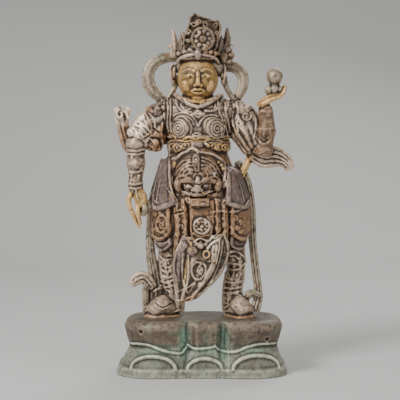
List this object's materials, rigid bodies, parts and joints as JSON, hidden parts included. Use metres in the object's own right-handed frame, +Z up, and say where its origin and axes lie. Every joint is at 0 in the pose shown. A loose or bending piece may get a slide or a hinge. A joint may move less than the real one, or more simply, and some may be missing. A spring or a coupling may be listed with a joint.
{
  "type": "guardian statue",
  "caption": "Cast bronze guardian in armour, one hand lowered and one raising a jewel, standing on a rock-shaped plinth with a flat underside.",
  "frame": {"origin": "centre of the plinth's flat underside", "axes": "+Z up, the guardian faces -Y, and +X is towards the raised hand"},
  "size_m": [0.217, 0.1236, 0.426],
  "materials": {
    "figure_bronze": "dark brown lacquered bronze, worn pale on the edges, with gilt face and hands",
    "plinth_bronze": "matte grey-green patina with verdigris in the grooves"
  },
  "bodies": {
    "root": {"guardian_figure": "figure_bronze", "plinth": "plinth_bronze"}
  },
  "joints": []
}
